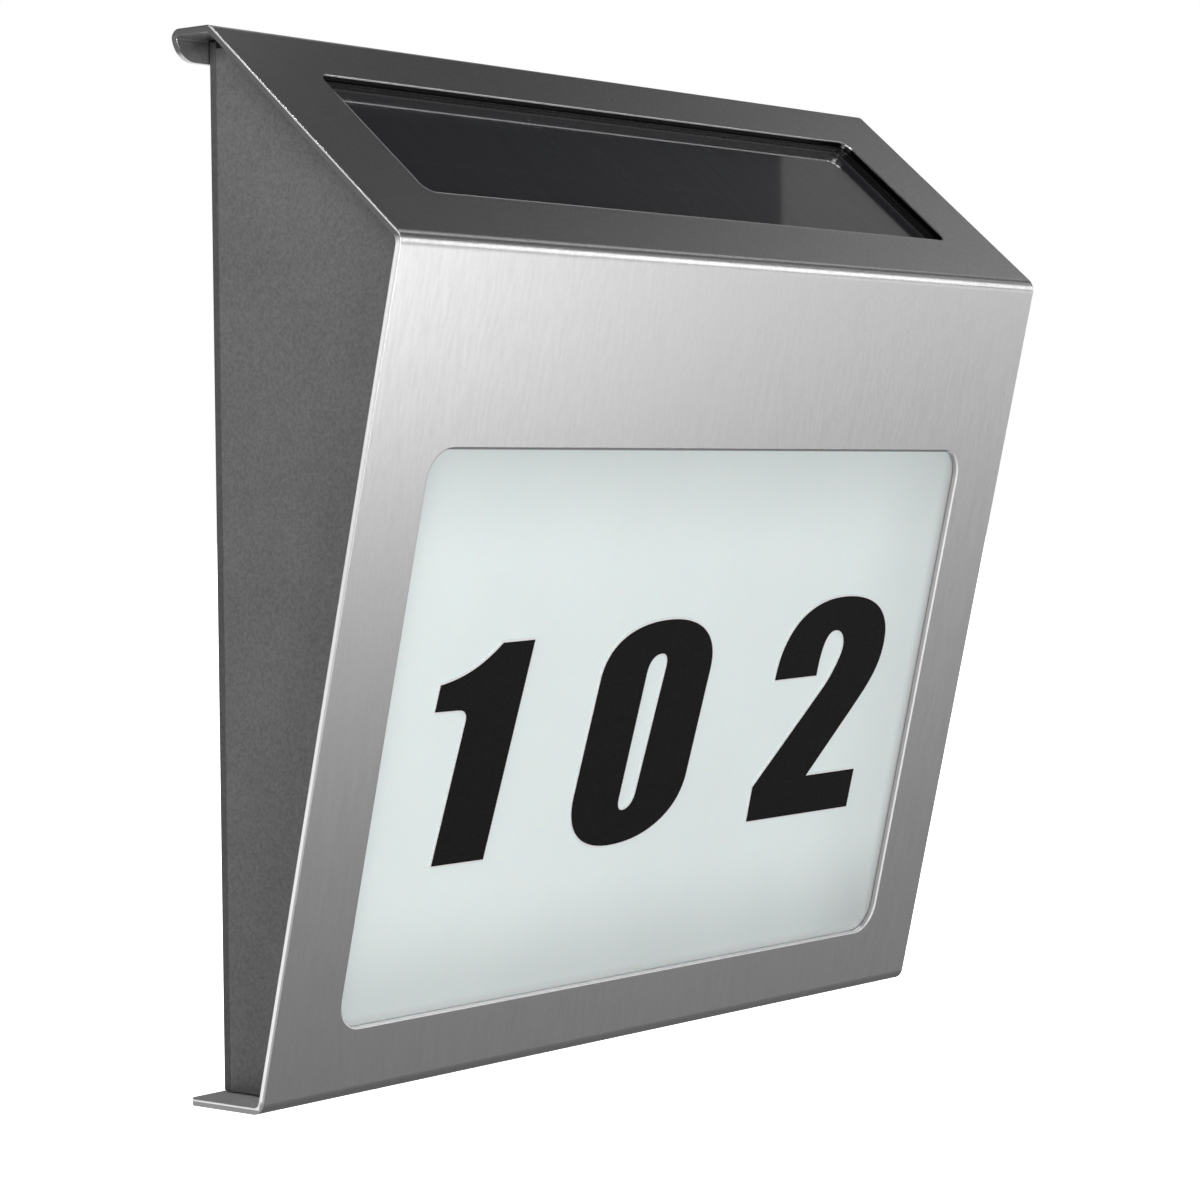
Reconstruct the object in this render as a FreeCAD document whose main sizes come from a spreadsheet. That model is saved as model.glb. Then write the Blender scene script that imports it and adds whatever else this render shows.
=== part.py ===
import FreeCAD, Part
import math
import os
import Sketcher

# Illuminated house number sign, millimetres.
# X runs left to right across the face, Y points into the wall (wall plane y = 0),
# Z is up. Heights in the sheet are measured from the underside of the bottom lip;
# every piece is then lowered by mount_z, so the origin is the middle of the two
# wall screws, on the wall.
V = FreeCAD.Vector
doc = FreeCAD.newDocument("house_number_light")
sheet = doc.addObject("Spreadsheet::Sheet", "dims")

DIMS = [
    ("cover_w", 200.0, "width of the folded cover"),
    ("cover_h", 190.0, "height, lip underside to flat top"),
    ("bend_z", 151.0, "height of the front bend"),
    ("bend_d", 54.0, "front bend, distance from the wall"),
    ("foot_d", 18.5, "foot of the number face, distance from the wall"),
    ("ridge_d", 9.5, "rear edge of the solar slope, distance from the wall"),
    ("flange_h", 5.5, "hook flange at the wall"),
    ("sheet_t", 1.2, "stainless sheet"),
    ("bend_r", 0.6, "inner radius, upper bends"),
    ("front_r", 1.8, "inner radius, front bend"),
    ("foot_r", 1.3, "inner radius, bottom bend"),
    ("hook_r", 4.6, "corner radius of the hook flange"),
    ("lip_r", 2.2, "corner radius of the bottom lip"),
    ("side_in", 8.0, "housing side wall, inside the cut edge"),
    ("gap", 0.15, "cover to housing"),
    ("wall", 2.0, "housing wall"),
    ("plate_t", 1.5, "back cover plate"),
    ("rear_gap", 0.2, "flange to back cover"),
    ("mount_z", 151.0, "height of the wall screws"),
    ("win_w", 168.0, "number window width"),
    ("win_h", 106.0, "number window height along the face"),
    ("win_v", 66.1, "number window centre, from the foot along the face"),
    ("win_r", 6.0, "number window corner radius"),
    ("sol_w", 164.0, "solar window width"),
    ("sol_h", 34.0, "solar window height along the slope"),
    ("sol_v", 30.7, "solar window centre, from the bend up the slope"),
    ("sol_r", 2.5, "solar window corner radius"),
    ("dif_t", 2.5, "diffuser thickness"),
    ("dif_m", 4.0, "diffuser margin round the window"),
    ("seal_t", 0.75, "gasket thickness"),
    ("frame_t", 5.0, "rib frame behind the number face"),
    ("sframe_t", 5.85, "rib frame behind the solar slope"),
    ("bezel_w", 172.0, "solar bezel width"),
    ("bezel_h", 41.0, "solar bezel height"),
    ("bezel_t", 3.25, "solar bezel depth"),
    ("panel_w", 163.0, "solar panel width"),
    ("panel_h", 36.0, "solar panel height"),
    ("panel_t", 2.0, "solar panel thickness"),
    ("digit_h", 46.4, "height of the tallest number"),
    ("film_t", 0.15, "number film thickness"),
    ("keyline", 0.4, "white border of the number film"),
    ("tray_t", 1.2, "light box wall"),
    ("tray_y", 10.2, "light box rear face, distance from the wall"),
    ("pcb_t", 1.2, "light strip board"),
    ("led_s", 5.0, "light emitter side"),
    ("led_t", 1.6, "light emitter height"),
    ("ctl_t", 1.6, "control board"),
    ("cell_r", 7.1, "cell radius"),
    ("cell_l", 49.2, "cell body length"),
    ("bolt_x", 40.0, "wall screw, from the middle"),
    ("bolt_r", 2.5, "wall screw hole radius"),
    ("strip_t", 1.5, "wall bracket sheet"),
    ("lift", 8.0, "lift needed to clear the hooks"),
    ("hinge_r", 0.8, "door pin radius"),
    ("hinge_c", 0.06, "door pin clearance"),
    ("hinge_d", 2.9, "door hinge axis, distance from the wall"),
    ("hinge_z", 110.9, "door hinge axis height"),
    ("wire_r", 0.65, "internal lead radius"),
    ("head_r", 2.6, "back cover screw head radius"),
    ("shank_r", 1.1, "back cover screw shank radius"),
]
for row, (alias, value, note) in enumerate(DIMS, start=1):
    sheet.set("A%d" % row, alias)
    sheet.set("B%d" % row, str(value))
    sheet.set("C%d" % row, note)
    sheet.setAlias("B%d" % row, alias)
doc.recompute()


class Q:
    """A size that knows its value and the sheet expression it comes from."""

    def __init__(self, v, e):
        self.v, self.e = float(v), e

    def __add__(self, o):
        o = q(o)
        return Q(self.v + o.v, "(%s + %s)" % (self.e, o.e))

    __radd__ = __add__

    def __sub__(self, o):
        o = q(o)
        return Q(self.v - o.v, "(%s - %s)" % (self.e, o.e))

    def __rsub__(self, o):
        return q(o) - self

    def __mul__(self, o):
        o = q(o)
        return Q(self.v * o.v, "(%s * %s)" % (self.e, o.e))

    __rmul__ = __mul__

    def __truediv__(self, o):
        o = q(o)
        return Q(self.v / o.v, "(%s / %s)" % (self.e, o.e))

    def __rtruediv__(self, o):
        return q(o) / self

    def __neg__(self):
        return Q(-self.v, "(0 - %s)" % self.e)


def q(o):
    if isinstance(o, Q):
        return o
    return Q(o, "%.6f" % o if o >= 0 else "(0 - %.6f)" % -o)


def s(alias):
    """a driving size from the sheet"""
    return Q(float(sheet.get(alias)), "dims." + alias)


def root(a):
    return Q(math.sqrt(a.v), "sqrt(%s)" % a.e)


def bind(obj, prop, size):
    size = q(size)
    if "dims." in size.e:
        obj.setExpression(prop, size.e)


# directions of the two leaning planes
face_run = s("bend_d") - s("foot_d")
face_len = root(face_run * face_run + s("bend_z") * s("bend_z"))
slope_run = s("bend_d") - s("ridge_d")
slope_rise = s("cover_h") - s("bend_z")
slope_len = root(slope_run * slope_run + slope_rise * slope_rise)
FACE_TILT = Q(
    90 + math.degrees(math.atan(face_run.v / s("bend_z").v)),
    "(90 + atan(%s / dims.bend_z) / 1 deg)" % face_run.e,
)
SLOPE_TILT = Q(
    math.degrees(math.atan(slope_rise.v / slope_run.v)),
    "(atan(%s / %s) / 1 deg)" % (slope_rise.e, slope_run.e),
)
o_out = s("sheet_t") + s("gap")  # housing skin below the cover's outer face
o_in = o_out + s("wall")
rear = s("sheet_t") + s("rear_gap")  # back cover's rear face, from the wall
plate_in = rear + s("plate_t")  # back cover's inner face
half_body = s("cover_w") / 2 - s("side_in")

nodes = []


def body(label):
    b = doc.addObject("PartDesign::Body", label)
    b.Label = label
    bind(b, "Placement.Base.z", -s("mount_z"))
    nodes.append(b)
    return b


def skt(b, role="XY", x=0, y=0, z=0, tilt=None):
    """a sketch on one of the body's own planes, shifted by x, y, z in that plane's frame"""
    k = b.newObject("Sketcher::SketchObject", "outline")
    plane = [f for f in b.Origin.OriginFeatures if f.Role == role + "_Plane"][0]
    k.AttachmentSupport = [(plane, "")]
    k.MapMode = "FlatFace"
    rot = FreeCAD.Rotation(V(1, 0, 0), q(tilt).v if tilt is not None else 0)
    k.AttachmentOffset = FreeCAD.Placement(V(q(x).v, q(y).v, q(z).v), rot)
    for c, n in ((x, "x"), (y, "y"), (z, "z")):
        bind(k, "AttachmentOffset.Base." + n, c)
    if tilt is not None:
        bind(k, "AttachmentOffset.Rotation.Angle", tilt)
    return k


def on_face(b, depth):
    """sketch plane on the number face, depth below its outer surface; y runs up the face from the foot"""
    ny, nz = s("bend_z") / face_len, face_run / face_len
    return skt(b, "XY", 0, depth * ny - s("foot_d"), depth * nz, FACE_TILT)


def on_slope(b, depth):
    """sketch plane on the solar slope, depth below its outer surface; y runs up the slope from the bend"""
    ny, nz = slope_rise / slope_len, slope_run / slope_len
    return skt(b, "XY", 0, depth * ny - s("bend_d"), s("bend_z") - depth * nz, SLOPE_TILT)


def pin(k, geo, pos, x, y):
    for kind, c in (("DistanceX", x), ("DistanceY", y)):
        c = q(c)
        if abs(c.v) < 1e-9:
            k.addConstraint(Sketcher.Constraint("PointOnObject", geo, pos, -2 if kind == "DistanceX" else -1))
            continue
        i = k.addConstraint(Sketcher.Constraint(kind, -1, 1, geo, pos, c.v))
        name = "d%d" % i
        k.renameConstraint(i, name)
        bind(k, "Constraints." + name, c)


def poly(k, pts):
    """closed polygon whose corners are pinned to the sheet"""
    n, first = len(pts), k.GeometryCount
    for i in range(n):
        a, c = pts[i], pts[(i + 1) % n]
        k.addGeometry(Part.LineSegment(V(q(a[0]).v, q(a[1]).v, 0), V(q(c[0]).v, q(c[1]).v, 0)), False)
    for i in range(n):
        k.addConstraint(Sketcher.Constraint("Coincident", first + i, 2, first + (i + 1) % n, 1))
    for i in range(n):
        pin(k, first + i, 1, *pts[i])


def box(k, cx, cy, w, h):
    cx, cy, w, h = q(cx), q(cy), q(w), q(h)
    x0, x1, y0, y1 = cx - w / 2, cx + w / 2, cy - h / 2, cy + h / 2
    poly(k, [(x0, y0), (x1, y0), (x1, y1), (x0, y1)])


def rbox(k, cx, cy, w, h, r):
    """rounded rectangle"""
    cx, cy, w, h, r = q(cx), q(cy), q(w), q(h), q(r)
    x0, x1, y0, y1 = cx - w / 2, cx + w / 2, cy - h / 2, cy + h / 2
    a, b, c, d, e = x0.v, x1.v, y0.v, y1.v, r.v
    f = k.GeometryCount

    def arc(px, py, start):
        k.addGeometry(
            Part.ArcOfCircle(Part.Circle(V(px, py, 0), V(0, 0, 1), e), math.radians(start), math.radians(start + 90)),
            False,
        )

    k.addGeometry(Part.LineSegment(V(a + e, c, 0), V(b - e, c, 0)), False)
    arc(b - e, c + e, 270)
    k.addGeometry(Part.LineSegment(V(b, c + e, 0), V(b, d - e, 0)), False)
    arc(b - e, d - e, 0)
    k.addGeometry(Part.LineSegment(V(b - e, d, 0), V(a + e, d, 0)), False)
    arc(a + e, d - e, 90)
    k.addGeometry(Part.LineSegment(V(a, d - e, 0), V(a, c + e, 0)), False)
    arc(a + e, c + e, 180)
    cons = [Sketcher.Constraint("Coincident", f + i, 2, f + (i + 1) % 8, 1) for i in range(8)]
    k.addConstraint(cons)
    # each straight side's two ends are pinned, and each arc carries the radius
    pin(k, f, 1, x0 + r, y0)
    pin(k, f, 2, x1 - r, y0)
    pin(k, f + 2, 1, x1, y0 + r)
    pin(k, f + 2, 2, x1, y1 - r)
    pin(k, f + 4, 1, x1 - r, y1)
    pin(k, f + 4, 2, x0 + r, y1)
    pin(k, f + 6, 1, x0, y1 - r)
    pin(k, f + 6, 2, x0, y0 + r)
    for i in (1, 3, 5, 7):
        n = k.addConstraint(Sketcher.Constraint("Radius", f + i, e))
        k.renameConstraint(n, "r%d" % n)
        bind(k, "Constraints.r%d" % n, r)


def disc(k, cx, cy, r):
    cx, cy, r = q(cx), q(cy), q(r)
    f = k.addGeometry(Part.Circle(V(cx.v, cy.v, 0), V(0, 0, 1), r.v), False)
    pin(k, f, 3, cx, cy)
    n = k.addConstraint(Sketcher.Constraint("Radius", f, r.v))
    k.renameConstraint(n, "r%d" % n)
    bind(k, "Constraints.r%d" % n, r)


def volume(b):
    doc.recompute()
    return b.Shape.Volume if b.Shape and not b.Shape.isNull() else 0.0


def extrude(b, k, length, kind="PartDesign::Pad", both=False, back=False, name="step"):
    before = volume(b)
    f = b.newObject(kind, name)
    f.Profile = k
    f.Length = q(length).v
    bind(f, "Length", length)
    if both:
        f.SideType = "Symmetric"
    f.Reversed = back
    b.Tip = f
    after = volume(b)
    cut = kind.endswith("Pocket")
    if (cut and after > before - 1e-3) or (not cut and after < before + 1e-3):
        raise RuntimeError("%s: %s changed nothing (%.2f to %.2f)" % (b.Label, f.Name, before, after))
    k.Visibility = False
    return f


def pad(b, k, length, both=False, back=False):
    return extrude(b, k, length, "PartDesign::Pad", both, back, "pad")


def cut(b, k, length, both=False, back=False):
    return extrude(b, k, length, "PartDesign::Pocket", both, back, "cut")


def round_edges(b, radius, test):
    """rounds the edges of the body's tip that pass the test, which reads each edge's middle and direction"""
    tip = b.Tip
    names = []
    for i, e in enumerate(tip.Shape.Edges, start=1):
        mid = e.valueAt((e.FirstParameter + e.LastParameter) / 2)
        d = e.tangentAt((e.FirstParameter + e.LastParameter) / 2)
        if test(mid, d, e):
            names.append("Edge%d" % i)
    if not names:
        raise RuntimeError("%s: no edges to round" % b.Label)
    f = b.newObject("PartDesign::Fillet", "round")
    f.Base = (tip, names)
    f.Radius = q(radius).v
    bind(f, "Radius", radius)
    b.Tip = f
    doc.recompute()
    if not f.isValid() or f.Shape.isNull():
        raise RuntimeError("%s: fillet failed" % b.Label)
    return f


def near(a, c, tol=0.05):
    return abs(a - q(c).v) < tol


def section(o, back_y):
    """side profile (Y, Z) at distance o inside the cover's outer face, open end at back_y"""
    o = q(o)
    top = s("cover_h") - o
    a, c = face_run / s("bend_z"), slope_run / slope_rise
    e1, e2 = o * face_len / s("bend_z"), o * slope_len / slope_rise
    zb = (s("ridge_d") + s("cover_h") * c + e1 - e2 - s("foot_d")) / (a + c)
    foot = (e1 - s("foot_d") - o * a, o)
    bend = (e1 - s("foot_d") - zb * a, zb)
    ridge = (e2 - s("ridge_d") - o * c, top)
    return [(back_y, o), foot, bend, ridge, (back_y, top)]


# ---------------------------------------------------------------- front cover
# one sheet: hook flange, flat top, solar slope, number face, bottom lip
cover = body("front_cover")
t = s("sheet_t")
outer = section(0, 0)
inner = section(t, 0)
k = skt(cover, "YZ")
poly(
    k,
    [
        (0, 0),
        (0, t),
        inner[1],
        inner[2],
        inner[3],
        (-t, s("cover_h") - t),
        (-t, s("cover_h") - s("flange_h")),
        (0, s("cover_h") - s("flange_h")),
        (0, s("cover_h")),
        outer[3],
        outer[2],
        outer[1],
    ],
)
pad(cover, k, s("cover_w"), both=True)
corner = lambda p: (lambda m, d, e: abs(d.x) > 0.99 and near(m.y, p[0]) and near(m.z, p[1]))
inside = [inner[3], (-t, s("cover_h") - t)]
outside = [outer[3], (q(0), s("cover_h"))]
round_edges(cover, s("bend_r"), lambda m, d, e: any(corner(p)(m, d, e) for p in inside))
round_edges(cover, s("bend_r") + t, lambda m, d, e: any(corner(p)(m, d, e) for p in outside))
round_edges(cover, s("front_r"), corner(inner[2]))
round_edges(cover, s("front_r") + t, corner(outer[2]))
round_edges(cover, s("foot_r"), corner(inner[1]))
round_edges(cover, s("foot_r") + t, corner(outer[1]))
# the flange's lower corners are cut to a large radius
hr = s("hook_r")
for side in (-1, 1):
    k = skt(cover, "XZ")
    xe = s("cover_w") / 2 * side
    ze = s("cover_h") - s("flange_h")
    cx, cz = xe - hr * side, ze + hr
    f = k.GeometryCount
    far = 1.0
    p = [(cx.v, ze.v), (xe.v, cz.v), (xe.v + far * side, cz.v), (xe.v + far * side, ze.v - far), (cx.v, ze.v - far)]
    mid = (cx.v + hr.v * side * math.cos(math.pi / 4), cz.v - hr.v * math.sin(math.pi / 4))
    if side > 0:
        k.addGeometry(Part.ArcOfCircle(Part.Circle(V(cx.v, cz.v, 0), V(0, 0, 1), hr.v), 1.5 * math.pi, 2 * math.pi), False)
        ends = (1, 2)
    else:
        k.addGeometry(Part.ArcOfCircle(Part.Circle(V(cx.v, cz.v, 0), V(0, 0, 1), hr.v), math.pi, 1.5 * math.pi), False)
        ends = (2, 1)
    for i in range(1, 5):
        a, c = p[i], p[(i + 1) % 5]
        k.addGeometry(Part.LineSegment(V(a[0], a[1], 0), V(c[0], c[1], 0)), False)
    k.addConstraint(
        [
            Sketcher.Constraint("Coincident", f, ends[1], f + 1, 1),
            Sketcher.Constraint("Coincident", f + 1, 2, f + 2, 1),
            Sketcher.Constraint("Coincident", f + 2, 2, f + 3, 1),
            Sketcher.Constraint("Coincident", f + 3, 2, f + 4, 1),
            Sketcher.Constraint("Coincident", f + 4, 2, f, ends[0]),
        ]
    )
    pin(k, f + 1, 1, xe, cz)
    pin(k, f + 2, 1, xe + far * side, cz)
    pin(k, f + 3, 1, xe + far * side, ze - far)
    pin(k, f + 4, 1, cx, ze - far)
    pin(k, f + 4, 2, cx, ze)
    n = k.addConstraint(Sketcher.Constraint("Radius", f, hr.v))
    k.renameConstraint(n, "r%d" % n)
    bind(k, "Constraints.r%d" % n, hr)
    cut(cover, k, t + s("bend_r") + 0.2, back=True)
# rounded rear corners of the bottom lip
half_w = s("cover_w") / 2
round_edges(
    cover,
    s("lip_r"),
    lambda m, d, e: abs(d.z) > 0.99 and near(abs(m.x), half_w) and near(m.y, 0) and m.z < 2,
)
# number window and solar window
k = on_face(cover, -1)
rbox(k, 0, s("win_v"), s("win_w"), s("win_h"), s("win_r"))
cut(cover, k, 4)
k = on_slope(cover, -1)
rbox(k, 0, s("sol_v"), s("sol_w"), s("sol_h"), s("sol_r"))
cut(cover, k, 4)
# two screw holes in the lip
k = skt(cover, "XY", z=-1)
for x in (-60, 60):
    disc(k, x, -10, 1.7)
cut(cover, k, 4, back=True)

# -------------------------------------------------------------------- housing
hous = body("housing")
k = skt(hous, "YZ")
poly(k, section(o_out, -plate_in))
pad(hous, k, half_body * 2, both=True)
pts = section(o_out, -plate_in)
round_edges(hous, 1.6, corner(pts[1]))
round_edges(hous, s("front_r") - s("gap"), corner(pts[2]))
round_edges(hous, 1.0, corner(pts[3]))
k = skt(hous, "YZ")
poly(k, section(o_in, -plate_in + 1))
cut(hous, k, (half_body - s("wall")) * 2, both=True)
# rib frames behind the number face and the solar slope
k = on_face(hous, o_out)
box(k, 0, s("win_v"), (half_body - s("wall")) * 2 + 0.4, s("win_h") + 14)
pad(hous, k, s("frame_t"), back=True)
k = on_slope(hous, o_out)
box(k, 0, s("sol_v"), (half_body - s("wall")) * 2 + 0.4, s("bezel_h") + 5)
pad(hous, k, s("sframe_t"), back=True)
# seats for the diffuser and the solar bezel, and the openings through them
dm = s("dif_m")
k = on_face(hous, o_out - 1)
rbox(k, 0, s("win_v"), s("win_w") + dm * 2 + 0.4, s("win_h") + dm * 2 + 0.4, 3)
cut(hous, k, s("dif_t") + s("seal_t") + 0.05 + 1)
k = on_face(hous, o_out - 1)
rbox(k, 0, s("win_v"), s("win_w") + 2, s("win_h") + 2, s("win_r") + 1)
cut(hous, k, s("frame_t") + 3)
k = on_slope(hous, o_out - 1)
rbox(k, 0, s("sol_v"), s("bezel_w") + 0.4, s("bezel_h") + 0.4, 2)
cut(hous, k, s("bezel_t") + s("seal_t") + 0.05 + 1)
k = on_slope(hous, o_out - 1)
rbox(k, 0, s("sol_v"), s("bezel_w") - 16, s("bezel_h") - 12, 3)
cut(hous, k, s("sframe_t") + 3)
# bosses for the back cover screws
bosses = [(x, z) for z in (7.6, 100.0, 180.0) for x in (-86.0, 86.0)]
for z, far in ((7.6, 14.0), (100.0, 18.5), (180.0, 10.6)):
    k = skt(hous, "XZ", z=plate_in + 1.6)
    for x in (-86.0, 86.0):
        disc(k, x, z, 4.3)
    pad(hous, k, q(far) - plate_in - 1.6)
k = skt(hous, "XZ", z=plate_in + 1.6)
for x, z in bosses:
    disc(k, x, z, s("shank_r") + 0.02)
cut(hous, k, 6.2, back=True)
# bosses for the cover screws, standing on the housing floor
k = skt(hous, "XY", z=o_out + 1)
for x in (-60, 60):
    disc(k, x, -10, 3.5)
pad(hous, k, 7)
k = skt(hous, "XY", z=o_out - 1)
for x in (-60, 60):
    disc(k, x, -10, 1.47)
cut(hous, k, 7.6, back=True)
# step round the rear opening for the gasket
k = skt(hous, "XZ", z=plate_in - 1)
box(k, 0, s("cover_h") / 2, half_body * 2 - 2, s("cover_h") - o_out * 2 - 2)
cut(hous, k, 2, back=True)
# soft edge where the side walls meet the face and the slope
round_edges(
    hous,
    0.5,
    lambda m, d, e: near(abs(m.x), half_body, 0.01)
    and abs(d.x) < 0.01
    and e.Length > 30
    and m.y < -(plate_in.v + 1)
    and m.z > 3,
)
# small relief in each side wall's top rear corner, under the flat top
for side in (-1, 1):
    k = skt(hous, "YZ", z=(half_body - 1.0) * side)
    box(k, -plate_in - 1.4, s("cover_h") - o_out - 0.6, 3.4, 1.7)
    cut(hous, k, 1.5, back=side > 0)

# ------------------------------------------------------------------ back cover
back = body("back_cover")
zc, zh = s("cover_h") / 2, s("cover_h") - o_out * 2
k = skt(back, "XZ", z=rear)
rbox(k, 0, zc, half_body * 2, zh - 0.2, 0.5)
pad(back, k, s("plate_t"))
# locating rim
k = skt(back, "XZ", z=plate_in)
rbox(k, 0, zc, half_body * 2 - s("wall") * 2 - 0.6, zh - s("wall") * 2 - 0.6, 1.5)
rbox(k, 0, zc, half_body * 2 - s("wall") * 2 - 3.6, zh - s("wall") * 2 - 3.6, 1.0)
pad(back, k, 1.4)
# screw seats
k = skt(back, "XZ", z=plate_in)
for x, z in bosses:
    disc(k, x, z, 3.7)
pad(back, k, 1.4)
# blocks for the bracket recess, the door seat, the battery bay, posts and board bosses
k = skt(back, "XZ", z=plate_in)
box(k, 0, 150.5, 123, 37)
pad(back, k, 5.5)
k = skt(back, "XZ", z=plate_in)
box(k, -30, 120.75, 85, 26.5)
pad(back, k, 3)
k = skt(back, "XZ", z=plate_in)
box(k, -37.75, 121, 60.5, 19)
pad(back, k, 18.5)
k = skt(back, "XZ", z=plate_in)
disc(k, 4.5, 126.5, 4.0)
pad(back, k, 6.5)
k = skt(back, "XZ", z=plate_in)
for x, z in ((20, 121), (74, 121)):
    disc(k, x, z, 2.8)
pad(back, k, 6.9)
k = skt(back, "XZ", z=plate_in)
for x, z in ((-60, 30), (60, 30), (-60, 90), (60, 90)):
    disc(k, x, z, 2.5)
pad(back, k, s("tray_y") - plate_in - 0.1)
# recess for the wall bracket, and the pockets above it that its hooks rise into
k = skt(back, "XZ", z=rear - 0.5)
rbox(k, 0, 146.78, 120, 26.56, 2)
cut(back, k, 6, back=True)
k = skt(back, "XZ", z=plate_in)
for x in (-45, 45):
    box(k, x, 163.8, 16, 7.6)
cut(back, k, 4, back=True)
# door opening, bay, hinge groove
k = skt(back, "XZ", z=rear - 0.5)
box(k, -30, 120.3, 78.4, 23.4)
cut(back, k, 3, back=True)
k = skt(back, "XZ", z=rear - 0.5)
box(k, -30, 110.6, 78.4, 4.0)
cut(back, k, 3.7, back=True)
k = skt(back, "XZ", z=rear + 2)
box(k, -37.75, 121, 57.5, 16)
cut(back, k, 16.5, back=True)
# sockets for the door's two pins
k = skt(back, "YZ", z=-71.2)
disc(k, -s("hinge_d"), s("hinge_z"), s("hinge_r") + s("hinge_c"))
cut(back, k, 82.4, back=True)
# threaded spot for the door screw, relieved for its swing
k = skt(back, "XZ", z=rear + 1)
disc(k, 4.5, 126.6, 2.5)
cut(back, k, 7.0, back=True)
# switch slot
k = skt(back, "XZ", z=rear - 0.5)
box(k, 45, 120, 8.4, 3.4)
cut(back, k, 3, back=True)
# screw holes with counterbores, drain hole, board pilot holes
k = skt(back, "XZ", z=rear - 0.5)
for x, z in bosses:
    disc(k, x, z, 2.9)
cut(back, k, 2.3, back=True)
k = skt(back, "XZ", z=rear - 0.5)
for x, z in bosses:
    disc(k, x, z, 1.5)
disc(k, 0, 9, 1.2)
cut(back, k, 4.5, back=True)
k = skt(back, "XZ", z=plate_in + 2)
for x, z in ((20, 121), (74, 121)):
    disc(k, x, z, 0.97)
cut(back, k, 6, back=True)
# lead holes through the bay's end walls
k = skt(back, "YZ", z=-70)
disc(k, -12, 121, 0.9)
cut(back, k, 64, back=True)

# gasket between housing and back cover
b = body("back_seal")
k = skt(b, "XZ", z=plate_in)
box(k, 0, zc, half_body * 2 - 2, zh - 2)
box(k, 0, zc, half_body * 2 - 4, zh - 4)
pad(b, k, 1)

# rubber pads at the lower rear corners
b = body("wall_bumpers")
k = skt(b, "XZ")
for x in (-78, 78):
    disc(k, x, 26, 5)
pad(b, k, rear)
round_edges(b, 0.4, lambda m, d, e: near(m.y, 0) and e.Curve.TypeId == "Part::GeomCircle")

# --------------------------------------------------------------- solar window
b = body("solar_bezel")
k = on_slope(b, o_out)
rbox(k, 0, s("sol_v"), s("bezel_w"), s("bezel_h"), 1.8)
pad(b, k, s("bezel_t"), back=True)
k = on_slope(b, o_out + s("bezel_t"))
rbox(k, 0, s("sol_v"), s("panel_w") + 0.3, s("panel_h") + 0.3, 0.8)
cut(b, k, s("panel_t"), back=True)
k = on_slope(b, o_out)
rbox(k, 0, s("sol_v"), s("sol_w") - 1.2, s("sol_h") - 0.8, s("sol_r") - 0.4)
cut(b, k, 0.45)
k = on_slope(b, o_out)
rbox(k, 0, s("sol_v"), s("sol_w") - 2.6, s("sol_h") - 1.4, s("sol_r") - 0.9)
cut(b, k, 0.85)
k = on_slope(b, o_out)
rbox(k, 0, s("sol_v"), s("sol_w") - 4.4, s("sol_h") - 2.0, 0.8)
cut(b, k, 2)

b = body("solar_panel")
k = on_slope(b, o_out + s("bezel_t"))
rbox(k, 0, s("sol_v"), s("panel_w"), s("panel_h"), 0.6)
pad(b, k, s("panel_t"))

b = body("solar_seal")
k = on_slope(b, o_out + s("bezel_t"))
rbox(k, 0, s("sol_v"), s("bezel_w"), s("bezel_h"), 1.8)
rbox(k, 0, s("sol_v"), s("bezel_w") - 15, s("bezel_h") - 11, 2)
pad(b, k, s("seal_t"), back=True)

# -------------------------------------------------------------- number window
b = body("diffuser")
k = on_face(b, o_out)
rbox(k, 0, s("win_v"), s("win_w") + dm * 2, s("win_h") + dm * 2, 2.8)
pad(b, k, s("dif_t"), back=True)

b = body("diffuser_seal")
k = on_face(b, o_out + s("dif_t"))
rbox(k, 0, s("win_v"), s("win_w") + dm * 2, s("win_h") + dm * 2, 2.8)
rbox(k, 0, s("win_v"), s("win_w") + 2.4, s("win_h") + 2.4, s("win_r"))
pad(b, k, s("seal_t"), back=True)

# reflector tray: wide at the diffuser, narrower at its rear wall
tray = body("light_box")
tt = s("tray_t")
k1 = on_face(tray, o_out + s("frame_t") + 0.1)
box(k1, 0, s("win_v"), s("win_w") + 4, s("win_h") + 4)
k2 = skt(tray, "XZ", z=s("tray_y"))
box(k2, 0, 60, 152, 88)
f = tray.newObject("PartDesign::AdditiveLoft", "shell")
f.Profile, f.Sections, f.Ruled = k1, [k2], True
tray.Tip = f
whole = volume(tray)
k1 = on_face(tray, o_out + s("frame_t") + 0.1)
box(k1, 0, s("win_v"), s("win_w") + 4 - tt * 2, s("win_h") + 4 - tt * 2)
k2 = skt(tray, "XZ", z=s("tray_y") + tt)
box(k2, 0, 60, 152 - tt * 2, 88 - tt * 2)
f = tray.newObject("PartDesign::SubtractiveLoft", "hollow")
f.Profile, f.Sections, f.Ruled = k1, [k2], True
tray.Tip = f
if volume(tray) > whole * 0.3:
    raise RuntimeError("light_box was not hollowed")
k = skt(tray, "XZ", z=s("tray_y") + tt)
for x in (-66, 66):
    disc(k, x, 60, 2.5)
pad(tray, k, 4)
k = skt(tray, "XZ", z=s("tray_y") - 1)
for x in (-54, -18, 18, 54):
    box(k, x, 60, s("led_s") + 1, s("led_s") + 1)
cut(tray, k, 4, back=True)
k = skt(tray, "XZ", z=s("tray_y") - 1)
for x in (-66, 66):
    disc(k, x, 60, 1.02)
cut(tray, k, 5.4, back=True)

b = body("led_board")
k = skt(b, "XZ", z=s("tray_y") - s("pcb_t"))
rbox(k, 0, 60, 144, 12, 1)
for x in (-66, 66):
    disc(k, x, 60, 1.2)
pad(b, k, s("pcb_t"))

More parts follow.
